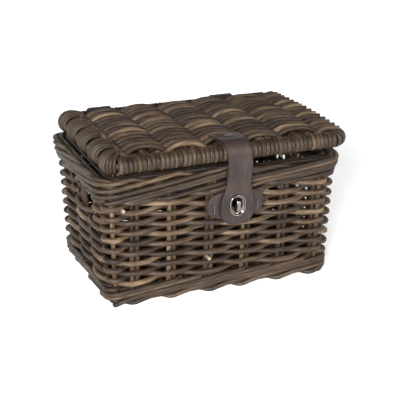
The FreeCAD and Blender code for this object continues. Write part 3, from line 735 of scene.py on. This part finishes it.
def hoop_path(start, end, bent):
    """Middle line of one side of the hoop, in plan, with a quarter bend at its end where bent is set."""
    a, b = np.array(start), np.array(end)
    ahead = (b - a) / np.linalg.norm(b - a)
    inward = np.array([-ahead[1], ahead[0]])
    path = list(np.linspace(a + ahead * HOOP_BEND, b - ahead * HOOP_BEND, 150))
    if bent:
        centre = b + (inward - ahead) * HOOP_BEND
        path += [centre + HOOP_BEND * (math.sin(t) * ahead - math.cos(t) * inward)
                 for t in np.linspace(0, math.pi / 2, 14)]
    return np.column_stack([np.array(path), np.full(len(path), LID_Z)])


def wound(name, line, radius, material, tree, **sizes):
    rings = all_along(line, radius, radius, 1.0)
    return grown(name, tree, guide([line], rings=[rings]), material, **sizes)


# the narrow cane of the front and back windings
NARROW = {"Pitch": 6.9 * MM, "Strip_Width": 7.5 * MM, "Strip_Thickness": 3.8 * MM, "Tilt": 0.03}


def front_winding(material, tree):
    line = hoop_path((LID_LEFT - 7 * MM, LID_FRONT), (LID_RIGHT, LID_FRONT), True)
    return wound("lid_front_winding_cane", line, HALF_EDGE - 1.8 * MM, material, tree, Seed=SEED, **NARROW)


def back_winding(material, tree):
    line = hoop_path((LID_RIGHT, LID_BACK), (LID_LEFT - 7 * MM, LID_BACK), False)
    return wound("lid_back_winding_cane", line, HALF_EDGE - 1.8 * MM, material, tree, Seed=SEED + 1, **NARROW)


def right_winding(material, tree):
    """Strokes of cane over the right edge, one beside each row."""
    y = np.linspace(LID_FRONT + HOOP_BEND, LID_BACK, 120)
    line = np.column_stack([np.full(len(y), LID_RIGHT), y, np.full(len(y), LID_Z)])
    return wound("lid_right_winding_cane", line, HALF_EDGE - 2.6 * MM, material, tree, Pitch=LID_PITCH,
                 Strip_Width=7.0 * MM, Strip_Thickness=5.2 * MM, Tilt=0.05, Seed=SEED + 5)


def left_roll(material, tree):
    """Wide winding in bundles of narrow cane.

    A bundle's canes start close together, fan out over the edge and go back beneath; the first and last
    bundles turn round the lid's corners.
    """
    rng = np.random.default_rng(SEED + 31)
    outer_x, front_y, back_y = LID_LEFT - HALF_EDGE, LID_FRONT - HALF_EDGE, LID_BACK + HALF_EDGE
    bend = HOOP_BEND + HALF_EDGE
    arc = bend * math.pi / 2
    straight = back_y - front_y - 2 * bend
    whole = straight + 2 * ROLL_TURN * arc
    bundles, each = 5, 9
    lines = []
    for k in range(bundles * each):
        bundle, place = divmod(k, each)
        spread = (place + 0.5) / each * 2 - 1
        far = (bundle + 0.5 + FAN_OUT * spread) / bundles * whole - ROLL_TURN * arc
        near = (bundle + 0.5) / bundles * whole - ROLL_TURN * arc
        near += spread * FAN_IN * whole / bundles / 2 + 7 * MM
        height = 0.6 + 0.46 * math.cos((spread - 0.1) * 1.25) + rng.normal(0, 0.012)
        theta = np.radians(np.arange(-64, 250, 9))
        share = smooth((theta + 0.7) / 2.4)
        path = []
        for angle, t in zip(theta, share):
            at = near + (far - near) * t
            turn = (np.clip(-at, 0, ROLL_TURN * arc) / bend
                    - np.clip(at - straight, 0, ROLL_TURN * arc) / bend)
            out = np.array([-math.cos(turn), math.sin(turn)])
            y = back_y - bend - np.clip(at, 0, straight)
            centre = np.array([outer_x + bend, y])
            wide = ROLL_HALF - 4.5 * MM * abs(turn) / 1.2
            off = -math.cos(angle) * wide * (height if angle > 1.57 else 1.0)
            plan = centre + out * (bend - wide + off)
            path.append([plan[0], plan[1], LID_Z + 1.5 * MM + math.sin(angle) * ROLL_HIGH * height])
        lines.append(np.array(path))
    return grown("lid_left_winding_cane", tree, guide(lines), material, Cane=5.4 * MM, Seed=SEED + 9)


# ---- leather and metal ----
def mesh_of_rings(name, rings, material, ends, attributes=None):
    """Joins rings of points to a surface; ends is "cap", "open", or "join" for last ring to first."""
    count = len(rings[0])
    faces = []
    pairs = [(i, i + 1) for i in range(len(rings) - 1)] + ([(len(rings) - 1, 0)] if ends == "join" else [])
    for a, b in pairs:
        for k in range(count):
            n = (k + 1) % count
            faces.append((a * count + k, a * count + n, b * count + n, b * count + k))
    if ends == "cap":
        faces.append(tuple(reversed(range(count))))
        faces.append(tuple((len(rings) - 1) * count + k for k in range(count)))
    mesh = bpy.data.meshes.new(name)
    mesh.from_pydata(np.concatenate(rings).tolist(), [], faces)
    for label, values in (attributes or {}).items():
        layer = mesh.attributes.new(label, "FLOAT", "POINT")
        layer.data.foreach_set("value", np.concatenate(values).astype(np.float32))
    work = bmesh.new()
    work.from_mesh(mesh)
    bmesh.ops.recalc_face_normals(work, faces=work.faces)
    work.to_mesh(mesh)
    work.free()
    mesh.shade_smooth()
    return show(name, mesh, material)


def leather_band(name, path, halves, middle, material, closed, sways=None):
    """A strip as thick as the strap along a path in the YZ plane, with rounded, burnished edges."""
    path = np.array(path)
    ahead = np.gradient(path, axis=0)
    if closed:
        ahead = np.roll(path, -1, axis=0) - np.roll(path, 1, axis=0)
    ahead /= np.linalg.norm(ahead, axis=1)[:, None]
    normals = np.column_stack([-ahead[:, 1], ahead[:, 0]])
    lengths = np.concatenate([[0], np.cumsum(np.linalg.norm(np.diff(path, axis=0), axis=1))])
    half_thick, soft = LEATHER / 2, 1.0 * MM
    turns = np.radians((0, 30, 60, 90))
    rings, along, across, edge = [], [], [], []
    sways = np.zeros(len(path)) if sways is None else sways
    for (y, z), normal, half, length, sway in zip(path, normals, halves, lengths, sways):
        flat = np.linspace(-1, 1, 15) * (half - soft)
        corner = [((half - soft) + soft * math.sin(t), (half_thick - soft) + soft * math.cos(t))
                  for t in turns]
        top = [(x, half_thick) for x in flat] + corner[1:]
        outline = top + [(x, -h) for x, h in reversed(corner)] + [(-x, -h) for x, h in top[1:15]]
        outline += [(-x, -h) for x, h in corner[1:]] + [(-x, h) for x, h in reversed(corner[1:])]
        outline = np.array(outline)
        rings.append(np.column_stack([middle + sway + outline[:, 0], y + outline[:, 1] * normal[0],
                                      z + outline[:, 1] * normal[1]]))
        along.append(np.full(len(outline), length))
        across.append(outline[:, 0])
        edge.append(smooth((np.abs(outline[:, 0]) - half + 1.6 * soft) / (1.2 * soft)))
    return mesh_of_rings(name, rings, material, "join" if closed else "cap",
                         {"along": along, "across": across, "edge": edge})


def strap(material):
    """One piece of leather from the lid over its edge and down to the lock."""
    middle = (FLAP_LOW.x + FLAP_HIGH.x) / 2
    y = (FLAP_LOW.y + FLAP_HIGH.y) / 2
    top = ANCHOR_HIGH.z - LEATHER / 2
    bend = 18.9 * MM
    path = [(back, top - 0.5 * MM * (back - y - bend) / (24 * MM))
            for back in np.arange(ANCHOR_HIGH.y + 6 * MM, y + bend, -2 * MM)]
    path += [(y + bend - bend * math.sin(t), top - bend + bend * math.cos(t))
             for t in np.linspace(0, math.pi / 2, 16)]
    low, neck, wide_z, round_end = FLAP_LOW.z, 186 * MM, 150 * MM, 20 * MM
    path += [(y, z) for z in np.arange(top - bend - 2 * MM, low + round_end, -2 * MM)]
    path += [(y, low + round_end * (1 - math.sin(t))) for t in np.linspace(0.06, math.pi / 2, 14)]
    narrow, wide, back = 20.0 * MM, (FLAP_HIGH.x - FLAP_LOW.x) / 2, (ANCHOR_HIGH.x - ANCHOR_LOW.x) / 2
    halves = []
    for py, pz in path:
        half = narrow + (wide - narrow) * smooth((neck - pz) / (neck - wide_z))
        half += (back - narrow) * smooth((py - y - 14 * MM) / (26 * MM))
        drop = min(max(low + round_end - pz, 0), round_end)
        half -= round_end - math.sqrt(max(round_end ** 2 - drop ** 2, 0))
        halves.append(half)
    # the strap sways a little to the right of its lock at the neck, and to the left where it lies on the lid
    run = np.concatenate([[0], np.cumsum(np.linalg.norm(np.diff(np.array(path), axis=0), axis=1))])
    sways = np.interp(run, [0, 28 * MM, 62 * MM, 80 * MM, 108 * MM, 130 * MM],
                      [-4.5 * MM, -1 * MM, 4.2 * MM, 4.8 * MM, 2.0 * MM, 0.6 * MM])
    made = leather_band("strap_leather", path, halves, middle, material, False, sways)
    hole = oval_rings(LOCK_X, LOCK_Z, 10 * MM, 14 * MM, [(0, y - 0.02), (0, y + 0.02)])
    cutter = mesh_of_rings("cutter", hole, material, "cap")
    cut = made.modifiers.new("slot", "BOOLEAN")
    cut.object = cutter
    mesh = evaluated(made)
    made.modifiers.clear()
    made.data = mesh
    bpy.data.objects.remove(cutter)
    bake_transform(made)
    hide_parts("strap_anchor", "strap_flap")


def hinge_loops(material):
    """Leather bands closed round the border and the lid's back edge."""
    reach = EDGE / 2 + 0.6 * MM + LEATHER / 2
    low = LOOPS[0][0].z + LEATHER / 2
    soft = 4 * MM
    path = [(LID_BACK - reach * math.cos(t), LID_Z + reach * math.sin(t))
            for t in np.linspace(0, math.pi, 30)]
    path += [(LID_BACK + reach, z) for z in np.arange(LID_Z - 3 * MM, low + soft, -3 * MM)]
    path += [(LID_BACK + reach - soft * (1 - math.cos(t)), low + soft * (1 - math.sin(t)))
             for t in np.linspace(0, math.pi / 2, 6)]
    path += [(y, low) for y in np.arange(LID_BACK + reach - soft - 3 * MM, LID_BACK - reach + soft, -3 * MM)]
    path += [(LID_BACK - reach + soft * (1 - math.sin(t)), low + soft * (1 - math.cos(t)))
             for t in np.linspace(0, math.pi / 2, 6)]
    path += [(LID_BACK - reach, z) for z in np.arange(low + soft + 2 * MM, LID_Z - 1 * MM, 3 * MM)]
    for side, (corner, far) in zip(("left", "right"), LOOPS):
        middle, half = (corner.x + far.x) / 2, (far.x - corner.x) / 2
        made = leather_band(f"{side}_hinge_leather", path, [half] * len(path), middle, material, True)
        lap_y = far.y - LEATHER / 2
        lap = [(lap_y, z) for z in np.arange(180 * MM, 206.1 * MM, 2 * MM)]
        flap = leather_band(f"{side}_hinge_lap", lap, [half] * len(lap), middle, material, False)
        stands_for(made, "basket", "strap_leather", f"{side}_hinge_loop")
        stands_for(flap, "basket", "strap_leather")


def oval_rings(x, z, half_x, half_z, profile):
    """Upright ovals with straight sides round a middle; each of profile is (how far in, y)."""
    turns = round_turn(48) + math.pi / 48
    rings = []
    for inset, y in profile:
        radius = half_x - inset
        straight = half_z - half_x
        rings.append(np.column_stack([x + radius * np.cos(turns), np.full(48, y),
                                      z + radius * np.sin(turns) + straight * np.sign(np.sin(turns))]))
    return rings


def lock_patch(material):
    """Leather patch on the wall behind the lock, its faces a little pillowed and its edge soft."""
    half_x, half_z = (PATCH_HIGH.x - PATCH_LOW.x) / 2, (PATCH_HIGH.z - PATCH_LOW.z) / 2
    x, z = (PATCH_HIGH.x + PATCH_LOW.x) / 2, (PATCH_HIGH.z + PATCH_LOW.z) / 2
    turns = round_turn(72)
    front, back = PATCH_LOW.y, PATCH_HIGH.y
    rings, along, across, edge = [], [], [], []
    for inset, y in ((8, back), (0.5, back), (0, back - 0.7 * MM), (0, front + 1.0 * MM),
                     (0.5, front + 0.3 * MM), (1.6, front), (6, front - 0.1 * MM)):
        hx, hz = half_x - inset * MM, half_z - inset * MM
        power = 2 / 2.6
        px = hx * np.sign(np.cos(turns)) * np.abs(np.cos(turns)) ** power
        pz = hz * np.sign(np.sin(turns)) * np.abs(np.sin(turns)) ** power
        rings.append(np.column_stack([x + px, np.full(72, y), z + pz]))
        along.append(pz)
        across.append(px)
        edge.append(np.full(72, 1.0 if inset < 0.4 else 0.0))
    made = mesh_of_rings("lock_patch_leather", rings, material, "cap",
                         {"along": along, "across": across, "edge": edge})
    stands_for(made, "basket", "strap_leather", "lock_patch")


def lock_ring(material):
    """Pressed oval eyelet: a bright rolled bead round a dished flange."""
    half_x, half_z = (RING_HIGH.x - RING_LOW.x) / 2, (RING_HIGH.z - RING_LOW.z) / 2
    back, front = RING_HIGH.y, RING_LOW.y
    profile = [(0, back), (0, front + 1.3 * MM), (0.3 * MM, front + 0.5 * MM), (0.9 * MM, front + 0.08 * MM),
               (1.5 * MM, front), (2.1 * MM, front + 0.2 * MM), (2.6 * MM, front + 0.8 * MM),
               (3.0 * MM, front + 1.6 * MM), (5.0 * MM, front + 2.3 * MM), (7.0 * MM, front + 2.6 * MM),
               (7.2 * MM, back)]
    made = mesh_of_rings("eyelet_bead", oval_rings(LOCK_X, LOCK_Z, half_x, half_z, profile), material, "join")
    stands_for(made, "strap_end", "nickel", "eyelet_ring")


def lock_knob(material):
    """Cast turn button: two rounded wings that swell from a waist, on a hub."""
    low, high = KNOB_LOW.z, KNOB_HIGH.z
    front = KNOB_LOW.y
    middle = (low + high) / 2
    rings = []
    for t in np.linspace(-1, 1, 25):
        end = math.sqrt(max(1 - abs(t) ** 5, 0.0004))
        swell = (2.9 + 1.1 * math.sin(abs(t) * math.pi * 0.62) ** 2) * MM * end
        deep = 2.5 * MM * end * (0.86 + 0.14 * math.cos(t * math.pi))
        turns = round_turn(20)
        rings.append(np.column_stack([LOCK_X + swell * np.cos(turns), front + 2.5 * MM + deep * np.sin(turns),
                                      np.full(20, middle + t * (high - low) / 2)]))
    made = mesh_of_rings("turn_button", rings, material, "cap")
    hub = mesh_of_rings("turn_button_hub", oval_rings(LOCK_X, LOCK_Z, 2.6 * MM, 2.61 * MM, [
        (0, front + 3 * MM), (0, KNOB_LOW.y + 7 * MM)]), material, "cap")
    stands_for(made, "turn_knob", "nickel", "lock_knob")
    stands_for(hub, "turn_knob", "nickel")


# ---- stage ----
AZIMUTH, ELEVATION, DISTANCE, LENS = 21.8, 20.5, 1.6579, 92.7


def camera():
    a, e = math.radians(AZIMUTH), math.radians(ELEVATION)
    forward = Vector((math.sin(a) * math.cos(e), math.cos(a) * math.cos(e), -math.sin(e)))
    made = linked("camera", bpy.data.cameras.new("camera"))
    made.data.sensor_width = 36
    made.data.lens = LENS
    made.data.shift_x, made.data.shift_y = 0.01725, -0.01625
    made.location = Vector((MIDDLE.x, MIDDLE.y, 0.120)) - forward * DISTANCE
    made.rotation_euler = forward.to_track_quat("-Z", "Y").to_euler()
    bpy.context.scene.camera = made


def lamp(name, place, size, power, aim=(0, 0, 0.12), spread=180):
    light = bpy.data.lights.new(name, "AREA")
    light.spread = math.radians(spread)
    light.shape = "DISK"
    light.size = size
    light.energy = power
    made = linked(name, light)
    made.location = place
    made.rotation_euler = (Vector(aim) - Vector(place)).to_track_quat("-Z", "Y").to_euler()


def stage():
    mesh = bpy.data.meshes.new("floor")
    mesh.from_pydata([(-6, -6, 0), (6, -6, 0), (6, 6, 0), (-6, 6, 0)], [], [(0, 1, 2, 3)])
    acrylic = plain_material("white acrylic lit from beneath", "#f6f6f6", 0.9)
    shader = acrylic.node_tree.nodes["Principled BSDF"]
    shader.inputs["Emission Color"].default_value = (1, 1, 1, 1)
    shader.inputs["Emission Strength"].default_value = 0.42
    show("floor", mesh, acrylic)
    turns = round_turn(48)
    rings = [np.column_stack([5.5 * np.cos(turns), 5.5 * np.sin(turns), np.full(48, z)]) for z in (0.0, 3.0)]
    mesh_of_rings("backdrop", rings, acrylic, "open")
    world = bpy.data.worlds.new("studio")
    world.use_nodes = True
    sky = world.node_tree.nodes["Background"].inputs
    sky["Color"].default_value = (1, 1, 1, 1)
    sky["Strength"].default_value = 0.1
    bpy.context.scene.world = world
    bpy.context.scene.view_settings.view_transform = "Standard"
    lamp("key", (-1.4, -2.2, 1.15), 0.6, 132)
    lamp("fill", (1.2, -2.4, 0.95), 1.0, 28)
    lamp("backdrop", (0.8, 3.4, 2.6), 1.6, 90, (0.9, 3.2, 0.0), 80)


def main():
    camera()
    stage()
    rattan = cane_material("weathered rattan core", [(0.2, "#2b2017"), (0.42, "#403124"), (0.62, "#574636"),
                                                     (0.85, "#877359")], 0.46)
    # darker core for both borders: painted shade on the foot border under the basket, and top border canes
    # darker than the walls'
    dark_core_and_painted_shade = cane_material("rattan core darkened by damp", [(0.2, "#261c14"), (0.5, "#3b2e21"),
                                                          (0.85, "#64523f")], 0.48)
    skin = cane_material("split rattan skin", [(0.15, "#2b2018"), (0.4, "#3a2e22"), (0.65, "#483a2b"),
                                               (0.9, "#5f4f3b")], 0.42)
    # dark cane: painted shade behind the borders and inside the back; the lid's back winding is this dark cane
    # too
    dark_skin_and_painted_shade = cane_material("dark split rattan and painted shade", [(0.2, "#1c1510"), (0.5, "#2a2018"),
                                                    (0.9, "#40342a")], 0.45)
    cut = plain_material("cut rattan end grain", "#85775f", 0.8)
    leather = leather_material("oiled brown leather")
    nickel = metal_material("polished nickel plate", "#7d7870", 0.13)
    # near black nickel on the lock plate and washer: painted shade and painted dark reflection inside the
    # eyelet
    shade_dark_nickel = metal_material("nickel plate darkened as painted shade", "#2c2926", 0.35)
    wire = metal_material("drawn steel wire", "#6f6c68", 0.3)
    plain, woven, winding = plain_cane_tree(), woven_cane_tree(), winding_tree()
    stands_for(wall_rows(rattan, woven), "basket", "rattan",
               *[f"{side}_{layer}_weave" for side in ("front", "back", "left", "right", "corner")
                 for layer in ("outer", "inner")])
    stands_for(inner_rows(dark_skin_and_painted_shade, plain), "basket", "rattan")
    stands_for(stakes(rattan, plain), "basket", "rattan", "front_stakes", "back_stakes", "left_stakes",
               "right_stakes", "corner_stakes", "left_hand_hold_stakes", "right_hand_hold_stakes")
    # both borders take the darker core, whose tones paint the shade under the foot
    stands_for(top_border(dark_core_and_painted_shade, plain), "basket", "rattan", "top_border")
    stands_for(foot_border(dark_core_and_painted_shade, plain), "basket", "rattan", "foot_border")
    stands_for(border_rings(dark_skin_and_painted_shade, plain), "basket", "rattan")
    stands_for(cut_ends(cut, plain), "basket", "rattan")
    stands_for(base_weave(rattan, woven), "basket", "rattan", "base_under_weave", "base_upper_weave")
    stands_for(lid_weave(rattan, woven), "lid", "rattan", "lid_upper_weave", "lid_lower_weave")
    stands_for(lid_ribs(rattan, plain), "lid", "rattan", "lid_ribs")
    stands_for(front_winding(skin, winding), "lid", "split_cane", "lid_front_winding")
    stands_for(back_winding(dark_skin_and_painted_shade, winding), "lid", "split_cane", "lid_back_winding")
    stands_for(right_winding(rattan, winding), "lid", "split_cane", "lid_right_winding")
    stands_for(left_roll(skin, plain), "lid", "split_cane", "lid_left_winding")
    strap(leather)
    hinge_loops(leather)
    lock_patch(leather)
    lock_ring(nickel)
    lock_knob(nickel)
    for name, material in {"lid_hoop": rattan, "base_sticks": rattan, "lock_plate": shade_dark_nickel,
                           "eyelet_washer": shade_dark_nickel, "lock_back_plate": nickel, "hinge_rivets": nickel,
                           "patch_stitches": wire, "anchor_stitches": wire}.items():
        for place in bpy.data.objects[name].material_slots:
            place.material = material


main()
